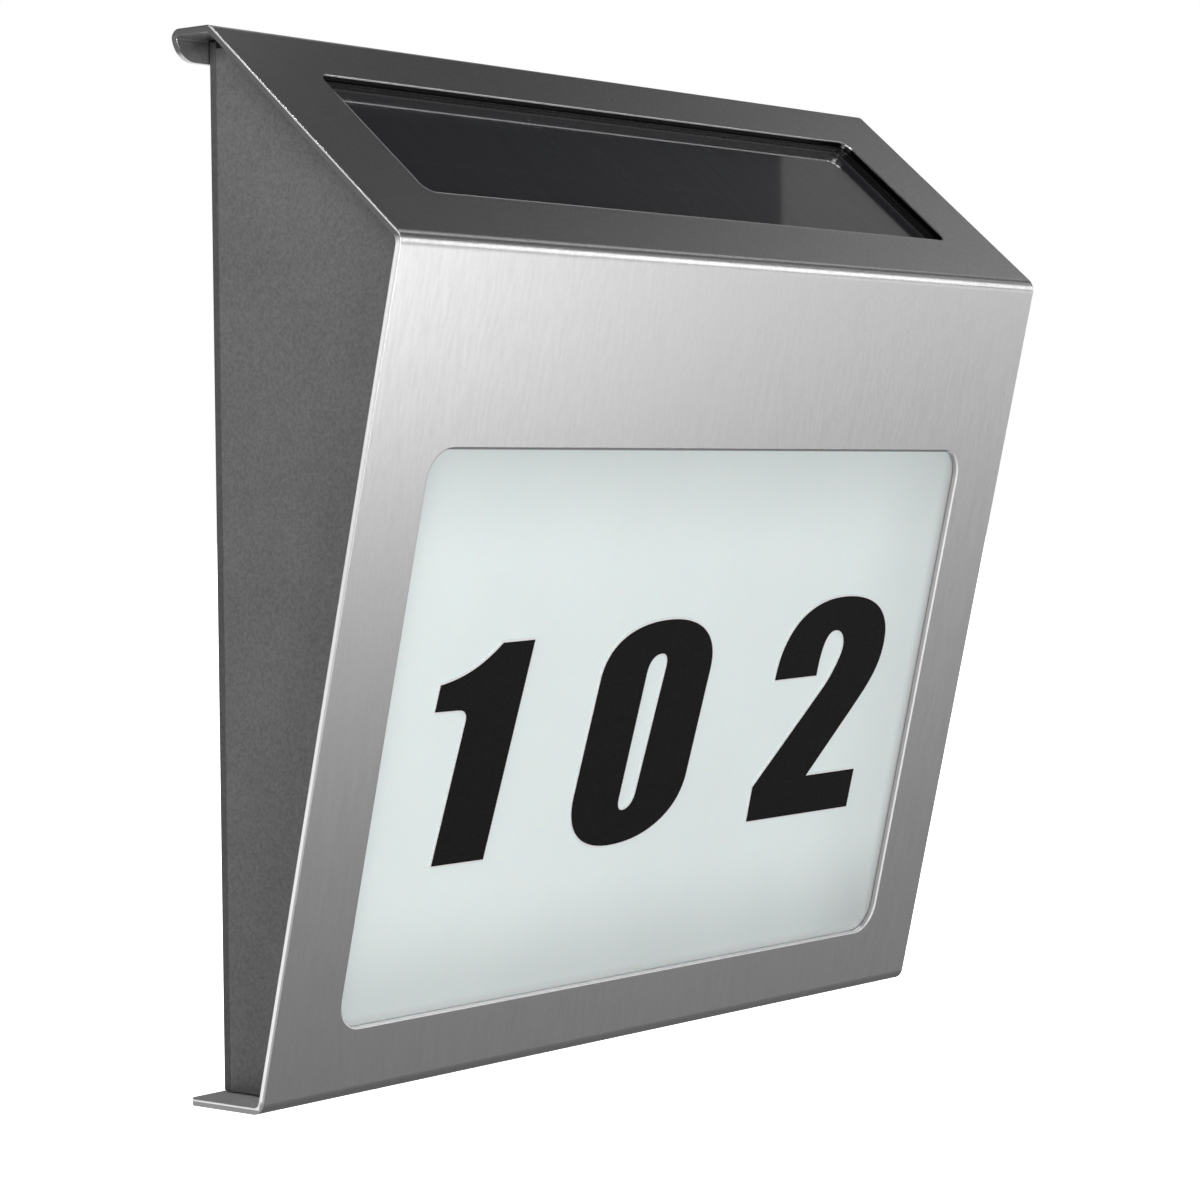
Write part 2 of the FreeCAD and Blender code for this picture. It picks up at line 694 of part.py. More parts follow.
b = body("leds")
k = skt(b, "XZ", z=s("tray_y"))
for x in (-54, -18, 18, 54):
    box(k, x, 60, s("led_s"), s("led_s"))
pad(b, k, s("led_t"))
k = skt(b, "XZ", z=s("tray_y") + s("led_t") - 0.4)
for x in (-54, -18, 18, 54):
    disc(k, x, 60, s("led_s") / 2 - 0.5)
cut(b, k, 0.5, back=True)

# ---------------------------------------------------------------- electronics
b = body("controller_board")
ctl = s("tray_y") - 0.4  # rear face of the control board
k = skt(b, "XZ", z=ctl)
rbox(k, 47, 121, 62, 17, 1)
for x in (20, 74):
    disc(k, x, 121, 1.15)
pad(b, k, s("ctl_t"))

b = body("board_parts")
for x, z, w, h, up in ((36, 124, 6, 4, 1.6), (60, 116.5, 3, 5, 1.2), (47, 115.5, 2, 1.25, 0.7), (52, 115.5, 2, 1.25, 0.7), (30, 116, 7, 4.5, 5.0)):
    k = skt(b, "XZ", z=ctl + s("ctl_t"))
    box(k, x, z, w, h)
    pad(b, k, up)
for x, z, r, up in ((47, 124, 3.1, 3.4), (67, 125, 2.5, 7.0)):
    k = skt(b, "XZ", z=ctl + s("ctl_t"))
    disc(k, x, z, r)
    pad(b, k, up)

b = body("switch_body")
k = skt(b, "XZ", z=4.6)
box(k, 45, 120, 12, 6)
pad(b, k, ctl - 4.6)
k = skt(b, "XZ", z=4.1)
box(k, 45, 120, 8.6, 3.0)
cut(b, k, 3.0, back=True)

b = body("switch_knob")
k = skt(b, "XZ", z=1.9)
rbox(k, 43.5, 120, 3.0, 2.6, 0.3)
pad(b, k, 4.9)
k = skt(b, "XZ", z=1.6)
for x in (42.5, 43.5, 44.5):
    box(k, x, 120, 0.45, 2.4)
pad(b, k, 0.4)

# one rechargeable cell, lying across the bay
b = body("battery_cell")
k = skt(b, "YZ", z=-65.4)
disc(k, -12.1, 121, s("cell_r"))
pad(b, k, s("cell_l"))
k = skt(b, "YZ", z=-65.4)
disc(k, -12.1, 121, 2.7)
pad(b, k, 0.7, back=True)
round_edges(b, 0.7, lambda m, d, e: e.Curve.TypeId == "Part::GeomCircle" and e.Curve.Radius > 5)

b = body("battery_contact_plate")
k = skt(b, "YZ", z=-66.5)
box(k, -12, 121, 11, 10)
pad(b, k, 0.4)

# leaf contact: base on the bay wall, arm bent out to the cell and back
b = body("battery_contact_spring")
k = skt(b, "XY", z=117)
poly(
    k,
    [
        (-9.0, -18.0),
        (-9.0, -6.0),
        (-9.4, -6.0),
        (-9.4, -17.3),
        (-15.75, -12.9),
        (-15.75, -11.1),
        (-11.3, -7.4),
        (-11.57, -7.1),
        (-16.15, -10.9),
        (-16.15, -13.1),
        (-9.7, -18.0),
    ],
)
pad(b, k, 8)

# ------------------------------------------------------------ battery door
door = body("battery_door")
k = skt(door, "XZ", z=rear + 0.1)
poly(k, [(-68.9, s("hinge_z")), (8.9, s("hinge_z")), (8.9, 131.7), (-68.9, 131.7)])
pad(door, k, s("plate_t"))
k = skt(door, "YZ", z=-68.9)
disc(k, -s("hinge_d"), s("hinge_z"), 1.2)
pad(door, k, 77.8)
k = skt(door, "YZ", z=-70.9)
disc(k, -s("hinge_d"), s("hinge_z"), s("hinge_r"))
pad(door, k, 81.8)
k = skt(door, "XZ", z=rear - 1)
disc(k, 4.5, 126, 1.5)
cut(door, k, 4, back=True)
# finger grip ridges by the free edge
k = skt(door, "XZ", z=rear - 0.25)
for i in range(5):
    box(k, -34, 122.4 + i * 1.5, 18, 0.7)
pad(door, k, 0.5)
round_edges(
    door,
    1.2,
    lambda m, d, e: abs(d.y) > 0.99 and near(m.z, 131.7) and e.Length > 1,
)

b = body("battery_door_seal")
k = skt(b, "XZ", z=rear + 0.1 + s("plate_t"))
rbox(k, -37.75, 122.0, 61.5, 18.6, 2)
rbox(k, -37.75, 122.0, 58.5, 15.6, 1.5)
pad(b, k, 0.8)

# ---------------------------------------------------------------- wall bracket
brk = body("wall_bracket")
k = skt(brk, "XZ")
rbox(k, 0, s("mount_z"), 114, 18, 3)
pad(brk, k, s("strip_t"))
k = skt(brk, "XZ", z=-1)
for side in (-1, 1):
    disc(k, s("bolt_x") * side, s("mount_z"), s("bolt_r"))
cut(brk, k, 4, back=True)
# two hooks folded forward and up from the strip's top edge
for x in (-51, 39):
    k = skt(brk, "YZ", z=x)
    poly(k, [(-0.9, 158.5), (-4.7, 158.5), (-4.7, 166), (-3.2, 166), (-3.2, 160), (-0.9, 160)])
    pad(brk, k, 12)
round_edges(brk, 1.2, lambda m, d, e: abs(d.x) > 0.99 and near(m.y, -4.7) and near(m.z, 158.5))
round_edges(brk, 0.7, lambda m, d, e: abs(d.x) > 0.99 and near(m.y, -4.7) and near(m.z, 166))
# pressed stiffening rib along the strip, between the two screw holes
k = skt(brk, "XZ", z=s("strip_t"))
rbox(k, 0, s("mount_z"), 56, 5, 2)
pad(brk, k, 0.8)
k = skt(brk, "XZ", z=-0.5)
rbox(k, 0, s("mount_z"), 54, 3, 1.4)
cut(brk, k, 1.3, back=True)


# ---------------------------------------------------------------------- screws
def screw(tag, at, turn, head_r, head_h, shank_r, length):
    """pan-head screw with a cross recess; it points along +Z before it is turned"""
    head_r, head_h, shank_r, length = q(head_r), q(head_h), q(shank_r), q(length)
    head = doc.addObject("Part::Cylinder", tag + "_head")
    head.Radius, head.Height = head_r.v, head_h.v
    bind(head, "Radius", head_r)
    head.Placement = FreeCAD.Placement(V(0, 0, -head_h.v), FreeCAD.Rotation())
    crown = doc.addObject("Part::Fillet", tag + "_crown")
    doc.recompute()
    crown.Base = head
    edge = [i for i, e in enumerate(head.Shape.Edges, start=1) if e.Curve.TypeId == "Part::GeomCircle" and near(e.CenterOfMass.z, -head_h.v)]
    r = min(head_h.v, head_r.v) * 0.4
    crown.Edges = [(edge[0], r, r)]
    shank = doc.addObject("Part::Cylinder", tag + "_shank")
    shank.Radius, shank.Height = shank_r.v, length.v
    bind(shank, "Radius", shank_r)
    tip = doc.addObject("Part::Cone", tag + "_tip")
    tip.Radius1, tip.Radius2, tip.Height = shank_r.v, shank_r.v * 0.3, shank_r.v
    tip.Placement = FreeCAD.Placement(V(0, 0, length.v), FreeCAD.Rotation())
    whole = doc.addObject("Part::MultiFuse", tag + "_whole")
    whole.Shapes = [crown, shank, tip]
    slots = []
    w, d = head_r.v * 0.26, head_h.v * 0.6
    for i, (lx, ly) in enumerate(((head_r.v * 1.2, w), (w, head_r.v * 1.2))):
        bx = doc.addObject("Part::Box", tag + "_slot%d" % i)
        bx.Length, bx.Width, bx.Height = lx, ly, d + 1
        bx.Placement = FreeCAD.Placement(V(-lx / 2, -ly / 2, -head_h.v - 1), FreeCAD.Rotation())
        slots.append(bx)
    cross = doc.addObject("Part::MultiFuse", tag + "_cross")
    cross.Shapes = slots
    out = doc.addObject("Part::Cut", tag)
    out.Base, out.Tool = whole, cross
    out.Placement = FreeCAD.Placement(V(*[q(c).v for c in at]), turn)
    for c, n in zip(at, "xyz"):
        bind(out, "Placement.Base." + n, c)
    doc.recompute()
    return out


def group(label, parts):
    g = doc.addObject("Part::Compound", label)
    g.Label = label
    g.Links = parts
    bind(g, "Placement.Base.z", -s("mount_z"))
    nodes.append(g)
    return g


INTO = FreeCAD.Rotation(V(1, 0, 0), 90)  # points along -Y, into the lamp from behind
OUTWARD = FreeCAD.Rotation(V(1, 0, 0), -90)  # points along +Y
UP = FreeCAD.Rotation()
group(
    "back_cover_screws",
    [screw("bcs%d" % i, (x, -(rear + 1.8), z), INTO, s("head_r"), 1.6, s("shank_r"), 5.9) for i, (x, z) in enumerate(bosses)],
)
group("cover_screws", [screw("cvs%d" % i, (x, -10, 0), UP, 2.8, 1.0, 1.45, 6.2) for i, x in enumerate((-60, 60))])
group(
    "board_screws",
    [screw("bds%d" % i, (x, -(ctl + s("ctl_t")), 121), OUTWARD, 1.9, 1.3, 0.95, 5.2) for i, x in enumerate((20, 74))],
)
group(
    "led_board_screws",
    [screw("lbs%d" % i, (x, -(s("tray_y") - s("pcb_t")), 60), INTO, 1.9, 1.3, 1.0, 4.2) for i, x in enumerate((-66, 66))],
)
ds = screw("battery_door_screw", (4.5, -(rear + 0.1), 126), INTO, 2.4, 1.0, 1.25, 4.4)
group("battery_door_screw_set", [ds])
nodes[-1].Label = "battery_door_fastener"


# --------------------------------------------------------------- stick-on numbers
def plain(label, shape, where=None):
    f = doc.addObject("Part::Feature", label)
    f.Label = label
    f.Shape = shape
    f.Placement = where if where else FreeCAD.Placement()
    nodes.append(f)
    return f


def outline(start, steps):
    """closed outline from lines (x, y) and curves (c1x, c1y, c2x, c2y, x, y); curves become tangent arcs"""
    edges, at = [], V(start[0], start[1], 0)
    for st in steps:
        if len(st) == 2:
            to = V(st[0], st[1], 0)
            if (to - at).Length > 1e-6:
                edges.append(Part.LineSegment(at, to).toShape())
        else:
            to = V(st[4], st[5], 0)
            c = Part.BezierCurve()
            c.setPoles([at, V(st[0], st[1], 0), V(st[2], st[3], 0), to])
            edges += [a.toShape() for a in c.toBSpline().toBiArcs(0.03)]
        at = to
    return Part.Wire(edges)


ONE = outline(
    (-64.4, -24.5),
    [(-50.2, -24.5), (-45.8, 17.0), (-54.5, 16.8), (-59.2, 12.6, -64.2, 10.6, -69.9, 9.6), (-70.3, 4.7), (-64.8, 4.7), (-62.2, 4.7, -61.3, 4.1, -61.5, 2.2), (-64.4, -24.5)],
)
ZERO = outline(
    (-26.3, -14.5),
    [
        (-22.0 - 4.9, -21.5, -22.0, -25.2, -13.6, -25.2),
        (-3.2, -25.2, 7.0, -20.8, 7.9, -12.5),
        (9.8, 8.8),
        (10.4, 15.8, 4.4, 19.3, -4.6, 19.3),
        (-15.4, 19.3, -23.4, 15.6, -24.2, 8.5),
        (-26.3, -14.5),
    ],
)
SLOT = outline(
    (-12.35, -15.4),
    [
        (-12.6, -17.4, -12.0, -18.4, -10.6, -18.4),
        (-8.8, -18.4, -7.4, -16.9, -7.25, -14.6),
        (-4.5, 9.8),
        (-4.35, 11.7, -5.0, 12.6, -6.6, 12.6),
        (-8.7, 12.6, -10.2, 11.3, -10.4, 9.0),
        (-12.35, -15.4),
    ],
)
TWO = outline(
    (31.6, -24.4),
    [
        (67.0, -24.1),
        (67.2, -15.9),
        (49.7, -16.1),
        (62.0, -2.4),
        (66.6, 2.8, 69.3, 6.0, 69.6, 10.8),
        (70.2, 18.6, 63.2, 22.0, 53.6, 22.0),
        (39.6, 22.0, 32.8, 15.0, 32.7, 5.2),
        (46.9, 5.5),
        (46.9, 12.0, 48.2, 14.9, 51.1, 14.9),
        (54.5, 14.9, 55.6, 11.8, 54.2, 8.9),
        (53.3, 6.8, 52.0, 4.6, 50.2, 2.6),
        (31.6, -17.2),
        (31.6, -24.4),
    ],
)
scale = s("digit_h").v / 46.4
ny, nz = s("bend_z").v / face_len.v, face_run.v / face_len.v


def face_place(depth):
    """placement of the number plane's frame, depth below the face, its centre at the window's"""
    up = s("win_v").v
    y = -s("foot_d").v - up * nz + depth * ny
    z = up * ny + depth * nz - s("mount_z").v
    return FreeCAD.Placement(V(0, y, z), FreeCAD.Rotation(V(1, 0, 0), FACE_TILT.v))


def film(outer_wire, holes, thick, grow=0.0):
    """flat film, its outline grown by the border width"""
    o = outer_wire.makeOffset2D(grow, 1) if grow else outer_wire
    face = Part.Face(o)
    for hw in holes:
        h2 = hw.makeOffset2D(-grow, 1) if grow else hw
        face = face.cut(Part.Face(h2))
    face = face.Faces[0]
    m = FreeCAD.Matrix()
    m.scale(V(scale, scale, 1))
    solid = face.extrude(V(0, 0, thick))
    if abs(scale - 1) > 1e-9:
        solid = solid.transformGeometry(m)
    return solid


ft = s("film_t").v
shapes = [("digit_1", ONE, []), ("digit_0", ZERO, [SLOT]), ("digit_2", TWO, [])]
border = Part.makeCompound([film(w, hs, ft, s("keyline").v) for _, w, hs in shapes])
plain("digit_backings", border, face_place(o_out.v))
for label, w, hs in shapes:
    plain(label, film(w, hs, ft), face_place(o_out.v - ft))


# ------------------------------------------------------------------ inner leads
def lead(points, radius):
    """a round lead along straight runs joined by tangent arcs"""
    pts = [V(*p) for p in points]
    edges, at, total, radii = [], pts[0], 0.0, []
    for i in range(1, len(pts) - 1):
        a, c = pts[i] - pts[i - 1], pts[i + 1] - pts[i]
        turn = a.getAngle(c)
        bend = 0.45 * min(a.Length, c.Length) / math.tan(turn / 2)
        cutback = bend * math.tan(turn / 2)
        a.normalize()
        c.normalize()
        p1, p2 = pts[i] - a * cutback, pts[i] + c * cutback
        bis = c - a
        bis.normalize()
        mid = pts[i] + bis * (bend / math.cos(turn / 2) - bend)
        edges.append(Part.LineSegment(at, p1).toShape())
        edges.append(Part.Arc(p1, mid, p2).toShape())
        total += (p1 - at).Length + bend * turn
        radii.append(round(bend, 1))
        at = p2
    edges.append(Part.LineSegment(at, pts[-1]).toShape())
    total += (pts[-1] - at).Length
    path = Part.Wire(edges)
    first = edges[0].tangentAt(edges[0].FirstParameter)
    ring = Part.Wire([Part.Circle(pts[0], first, radius).toShape()])
    tube = path.makePipeShell([ring], True, True)
    want = total * math.pi * radius * radius
    if abs(tube.Volume - want) > 0.02 * want:
        raise RuntimeError("lead volume %.1f, expected %.1f" % (tube.Volume, want))
    print("lead length %.1f mm, bend radii %s" % (total, radii))
    return tube


wr = s("wire_r").v
board_y = -(ctl.v + s("ctl_t").v)
down = FreeCAD.Placement(V(0, 0, -s("mount_z").v), FreeCAD.Rotation())
# from the panel's rear, from the cell's contacts, and to the light strip
panel_rear = (o_out + s("bezel_t")).v
py = -s("bend_d").v + s("sol_v").v * (slope_run / slope_len).v + panel_rear * (slope_rise / slope_len).v
pz = s("bend_z").v + s("sol_v").v * (slope_rise / slope_len).v - panel_rear * (slope_run / slope_len).v


ry, rz = (slope_rise / slope_len).v, (slope_run / slope_len).v


def solar(x):
    return lead(
        [(x, py, pz), (x, py + 7 * ry, pz - 7 * rz), (x + 6, py + 8.5, pz - 15), (x + 18, -17.5, 142), (x + 26, -16.5, 126.5), (x + 26, board_y, 126.5)],
        wr,
    )


red = [
    solar(27.0),
    lead([(-66.5, -12, 121), (-71.5, -12, 121), (-74.5, -18, 122), (-70, -24.5, 123.5), (-56, -25.2, 124), (-34, -25, 124.4), (-14, -24, 124), (0, -21, 124), (12, -17.5, 125), (23.5, -16.2, 126.6), (23.5, board_y, 126.6)], wr),
    lead([(69.0, -9.0, 63.0), (69.0, -5.8, 63.0), (70.5, -5.4, 74.0), (70.2, -5.4, 86.0), (68.8, -5.6, 98.0), (68.0, -5.8, 113.8), (68.0, -9.8, 113.8)], wr),
]
black = [
    solar(30.0),
    lead([(-9.0, -12, 121), (-4.0, -12, 121), (0.5, -14.6, 119.6), (8, -16.4, 117.8), (18.5, -16.6, 115.0), (18.5, board_y, 115.0)], wr),
    lead([(65.6, -9.0, 63.0), (65.6, -5.8, 63.0), (66.8, -5.4, 74.0), (66.4, -5.4, 86.0), (65.4, -5.6, 98.0), (65.0, -5.8, 113.8), (65.0, -9.8, 113.8)], wr),
]
plain("leads_red", Part.makeCompound(red), down)
plain("leads_black", Part.makeCompound(black), down)

# ------------------------------------------------------------- check and write
doc.recompute()
for o in doc.Objects:
    bad = [x for x in o.State if x in ("Invalid", "Error")]
    if bad:
        raise RuntimeError("%s is %s" % (o.Label, bad))
os.makedirs("parts", exist_ok=True)
for old in os.listdir("parts"):
    if old.endswith(".step"):
        os.remove(os.path.join("parts", old))
for o in nodes:
    sh = o.Shape
    if sh.isNull() or not sh.isValid() or not sh.Solids:
        raise RuntimeError("%s has no valid solid" % o.Label)
    sh.exportStep("parts/%s.step" % o.Label)
    bb = sh.BoundBox
    print("%-24s solids %d  vol %9.1f  x %.1f..%.1f  y %.1f..%.1f  z %.1f..%.1f" % (o.Label, len(sh.Solids), sh.Volume, bb.XMin, bb.XMax, bb.YMin, bb.YMax, bb.ZMin, bb.ZMax))
print("%d nodes" % len(nodes))
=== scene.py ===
import math

import bmesh
import bpy
from mathutils import Matrix, Vector

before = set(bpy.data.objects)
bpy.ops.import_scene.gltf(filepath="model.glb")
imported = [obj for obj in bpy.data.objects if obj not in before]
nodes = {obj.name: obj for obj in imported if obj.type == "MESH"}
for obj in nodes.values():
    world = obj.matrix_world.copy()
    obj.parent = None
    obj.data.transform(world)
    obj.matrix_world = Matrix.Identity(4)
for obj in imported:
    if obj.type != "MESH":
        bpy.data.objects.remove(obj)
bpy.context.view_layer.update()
scene = bpy.context.scene

# ---------------------------------------------------------------- node helpers
MM = 0.001
FACE_TILT = math.atan2(35.5, 151.0)  # the number face leans out at the top
FACE_UP = Vector((0, -math.sin(FACE_TILT), math.cos(FACE_TILT)))
FACE_OUT = Vector((0, -math.cos(FACE_TILT), -math.sin(FACE_TILT)))
SLOPE = math.atan2(39.0, 44.5)
SLOPE_UP = Vector((0, math.cos(SLOPE), math.sin(SLOPE)))
SLOPE_OUT = Vector((0, -math.sin(SLOPE), math.cos(SLOPE)))
FOOT = Vector((0, -18.5, -151.0)) * MM
BEND = Vector((0, -54.0, 0.0)) * MM
WINDOW = FOOT + FACE_UP * 66.1 * MM  # middle of the number window
SOLAR = BEND + SLOPE_UP * 30.7 * MM  # middle of the solar window


class Tree:
    """a material with one Principled shader and short calls for its nodes"""

    def __init__(self, name):
        self.mat = bpy.data.materials.new(name)
        self.mat.use_nodes = True
        self.t = self.mat.node_tree
        self.t.nodes.clear()
        self.out = self.new("ShaderNodeOutputMaterial")
        self.bsdf = self.new("ShaderNodeBsdfPrincipled")
        self.link(self.bsdf.outputs[0], self.out.inputs["Surface"])
        self.pos = self.new("ShaderNodeTexCoord").outputs["Object"]

    def new(self, kind, **props):
        n = self.t.nodes.new(kind)
        for k, v in props.items():
            setattr(n, k, v)
        return n

    def link(self, a, b):
        self.t.links.new(a, b)

    def put(self, socket, v):
        if isinstance(v, bpy.types.NodeSocket):
            self.link(v, socket)
        else:
            socket.default_value = v

    def set(self, **values):
        for k, v in values.items():
            self.put(self.bsdf.inputs[k.replace("_", " ")], v)

    def math(self, op, a, b=0.0, c=0.0, clamp=False):
        n = self.new("ShaderNodeMath", operation=op, use_clamp=clamp)
        for i, v in enumerate((a, b, c)):
            self.put(n.inputs[i], v)
        return n.outputs[0]

    def dot(self, a, vec):
        n = self.new("ShaderNodeVectorMath", operation="DOT_PRODUCT")
        self.link(a, n.inputs[0])
        n.inputs[1].default_value = vec
        return n.outputs["Value"]

    def split(self, v):
        n = self.new("ShaderNodeSeparateXYZ")
        self.link(v, n.inputs[0])
        return n.outputs

    def join(self, x, y, z):
        n = self.new("ShaderNodeCombineXYZ")
        for i, v in enumerate((x, y, z)):
            self.put(n.inputs[i], v)
        return n.outputs[0]

    def scaled(self, v, x, y, z, turn=(0, 0, 0)):
        n = self.new("ShaderNodeMapping")
        self.link(v, n.inputs["Vector"])
        n.inputs["Scale"].default_value = (x, y, z)
        n.inputs["Rotation"].default_value = turn
        return n.outputs[0]

    def noise(self, vec, scale=1.0, detail=3.0, rough=0.55):
        n = self.new("ShaderNodeTexNoise")
        self.link(vec, n.inputs["Vector"])
        n.inputs["Scale"].default_value = scale
        n.inputs["Detail"].default_value = detail
        n.inputs["Roughness"].default_value = rough
        return n.outputs["Fac"]

    def ramp(self, fac, stops, mode="LINEAR"):
        n = self.new("ShaderNodeValToRGB")
        self.link(fac, n.inputs[0])
        n.color_ramp.interpolation = mode
        e = n.color_ramp.elements
        while len(e) < len(stops):
            e.new(0.5)
        for el, (p, c) in zip(e, stops):
            el.position = p
            el.color = (c, c, c, 1) if isinstance(c, (int, float)) else (*c, 1)
        return n.outputs["Color"]

    def span(self, fac, a, b, lo=0.0, hi=1.0, smooth=True):
        n = self.new("ShaderNodeMapRange", clamp=True)
        n.interpolation_type = "SMOOTHSTEP" if smooth else "LINEAR"
        self.link(fac, n.inputs["Value"])
        for k, v in (("From Min", a), ("From Max", b), ("To Min", lo), ("To Max", hi)):
            n.inputs[k].default_value = v
        return n.outputs["Result"]

    def mix(self, fac, a, b):
        n = self.new("ShaderNodeMix", data_type="RGBA")
        self.put(n.inputs["Factor"], fac)
        for i, v in (("A", a), ("B", b)):
            s = [x for x in n.inputs if x.name == i and x.type == "RGBA"][0]
            if isinstance(v, (tuple, list)) and len(v) == 3:
                v = (*v, 1)
            self.put(s, v)
        return [x for x in n.outputs if x.type == "RGBA"][0]

    def bump(self, height, distance, strength=1.0, normal=None):
        n = self.new("ShaderNodeBump")
        self.link(height, n.inputs["Height"])
        n.inputs["Distance"].default_value = distance
        n.inputs["Strength"].default_value = strength
        if normal is not None:
            self.link(normal, n.inputs["Normal"])
        return n.outputs[0]

    def frame_edge(self, u, v, half_u, half_v, r):
        """distance outside a round-cornered opening (negative within it)"""
        a = self.math("SUBTRACT", self.math("ABSOLUTE", u), half_u - r)
        b = self.math("SUBTRACT", self.math("ABSOLUTE", v), half_v - r)
        far = self.math("SQRT", self.math("ADD", self.math("POWER", self.math("MAXIMUM", a, 0.0), 2.0), self.math("POWER", self.math("MAXIMUM", b, 0.0), 2.0)))
        near = self.math("MINIMUM", self.math("MAXIMUM", a, b), 0.0)
        return self.math("SUBTRACT", self.math("ADD", far, near), r)

    def soft_edge(self, radius):
        n = self.new("ShaderNodeBevel", samples=6)
        n.inputs["Radius"].default_value = radius
        return n.outputs[0]

    def normal(self):
        return self.new("ShaderNodeNewGeometry").outputs["Normal"]


def give(material, *names):
    for name in names:
        for slot in nodes[name].material_slots:
            slot.material = material.mat


# -------------------------------------------------------------------- materials
def brushed_cover():
    m = Tree("brushed_cover")
    x, y, z = m.split(m.pos)
    # short strokes run up the number face; over the bend the sheet turns to an even, fine grain
    strokes = m.noise(m.scaled(m.pos, 1150, 175, 175), detail=2, rough=0.5)
    fine = m.noise(m.scaled(m.pos, 3400, 300, 300), detail=2)
    broad = m.noise(m.scaled(m.pos, 300, 40, 40), detail=2)
    even = m.noise(m.pos, scale=1500, detail=2)
    brushed = m.math("ADD", m.math("MULTIPLY", strokes, 0.55), m.math("ADD", m.math("MULTIPLY", fine, 0.30), m.math("MULTIPLY", broad, 0.15)))
    over = m.span(z, -0.003, 0.001)
    grain = m.math("ADD", m.math("MULTIPLY", brushed, m.math("SUBTRACT", 1.0, over)), m.math("MULTIPLY", even, over))

    # depth below the outer skin of the folded sheet
    def below(point, out):
        rel = m.new("ShaderNodeVectorMath", operation="SUBTRACT")
        rel.inputs[0].default_value = point
        m.link(m.pos, rel.inputs[1])
        return m.dot(rel.outputs[0], out)

    depth = m.math("MINIMUM", below(FOOT, FACE_OUT), below(BEND, SLOPE_OUT))
    depth = m.math("MINIMUM", depth, m.math("MINIMUM", m.math("SUBTRACT", 0.039, z), m.math("ADD", 0.151, z)))
    rind = m.span(depth, 0.00040, 0.00026, 0, 1)
    # cut edges: side cuts, and the cuts round both windows
    n = m.normal()
    side = m.span(m.math("ABSOLUTE", m.split(n)[0]), 0.55, 0.8)
    outer = m.math("MULTIPLY", side, m.math("GREATER_THAN", m.math("ABSOLUTE", x), 0.095))
    in_face = m.math("MULTIPLY", m.math("GREATER_THAN", z, -0.142), m.math("LESS_THAN", z, -0.025))
    in_slope = m.math("MULTIPLY", m.math("GREATER_THAN", z, 0.004), m.math("LESS_THAN", z, 0.037))
    inner = m.math("MULTIPLY", side, m.math("LESS_THAN", m.math("ABSOLUTE", x), 0.0945))
    sill = m.math("MULTIPLY", m.span(m.math("ABSOLUTE", m.dot(n, FACE_UP)), 0.8, 0.95), in_face)
    jamb = m.math("MULTIPLY", inner, in_face)
    pane = m.math("MAXIMUM", m.span(m.math("ABSOLUTE", m.dot(n, SLOPE_UP)), 0.8, 0.95), inner)
    pane = m.math("MULTIPLY", pane, in_slope)
    # painted highlight on the side cuts: a bright strip along one edge of each cut, and the rest of the cut painted in
    # darker greys as painted shade
    high = m.span(z, -0.0016, 0.0004)
    low = m.span(z, -0.1482, -0.1492)
    # painted shade: the cut beside the number face is painted darker towards the bottom
    face_cut_shade_ramp = m.span(z, -0.13, -0.03, 0.42, 0.80)
    top_cut_glint_strip = m.math("MULTIPLY", rind, m.math("LESS_THAN", y, -0.0092))
    # painted highlight on the cut up top: dark grey, with a bright strip painted on its outer skin
    top_cut_painted_glint = m.math("ADD", 0.13, m.math("MULTIPLY", top_cut_glint_strip, 0.62))
    # painted highlight on the cut beside the number face: a bright strip painted on its inner side
    face_cut_glint_strip = m.span(depth, 0.00040, 0.00052)
    face_cut_painted_tone = m.math("ADD", m.math("MULTIPLY", face_cut_shade_ramp, m.math("SUBTRACT", 1.0, face_cut_glint_strip)), m.math("MULTIPLY", face_cut_glint_strip, 0.93))
    # painted highlight on the cut of the foot: mid grey, with a bright strip painted along its upper side
    foot_cut_painted_glint = m.math("ADD", 0.30, m.math("MULTIPLY", m.span(depth, 0.00080, 0.00092), 0.55))
    edge = m.mix(high, m.mix(low, face_cut_painted_tone, foot_cut_painted_glint), top_cut_painted_glint)
    speck = m.ramp(m.noise(m.pos, scale=2600, detail=2), [(0.3, 0.94), (0.7, 1.0)])
    steel = m.ramp(grain, [(0.3, (0.565, 0.56, 0.565)), (0.7, (0.675, 0.67, 0.675))])
    # painted highlight: a hair-thin light line is painted round the lower and right sides of the number window, and
    # along the lower and left sides of the solar window
    relw = m.new("ShaderNodeVectorMath", operation="SUBTRACT")
    m.link(m.pos, relw.inputs[0])
    relw.inputs[1].default_value = WINDOW
    wv = m.dot(relw.outputs[0], FACE_UP)
    off = m.frame_edge(x, wv, 0.084, 0.053, 0.006)
    arris_glint = m.math("MULTIPLY", m.span(off, 0.00020, 0.00008, 0, 1), m.math("MAXIMUM", m.span(wv, -0.048, -0.0515), m.span(x, 0.079, 0.0825)))
    arris_glint = m.math("MULTIPLY", m.math("MULTIPLY", arris_glint, in_face), m.span(depth, 0.00045, 0.00030))
    rels = m.new("ShaderNodeVectorMath", operation="SUBTRACT")
    m.link(m.pos, rels.inputs[0])
    rels.inputs[1].default_value = SOLAR
    sv = m.dot(rels.outputs[0], SLOPE_UP)
    brim_glint = m.frame_edge(x, sv, 0.082, 0.017, 0.0025)
    brim_glint = m.math("MULTIPLY", m.span(brim_glint, 0.00034, 0.00016, 0, 1), m.span(sv, 0.012, 0.010))
    brim_glint = m.math("MULTIPLY", m.math("MULTIPLY", brim_glint, in_slope), m.span(x, 0.079, 0.077))
    c = m.mix(outer, steel, edge)
    # side cuts of the number window: a painted highlight on the outer strip, and the rest painted grey as a painted
    # reflection of the pale plate
    c = m.mix(jamb, c, m.mix(rind, (0.50, 0.48, 0.48), (0.95, 0.95, 0.95)))
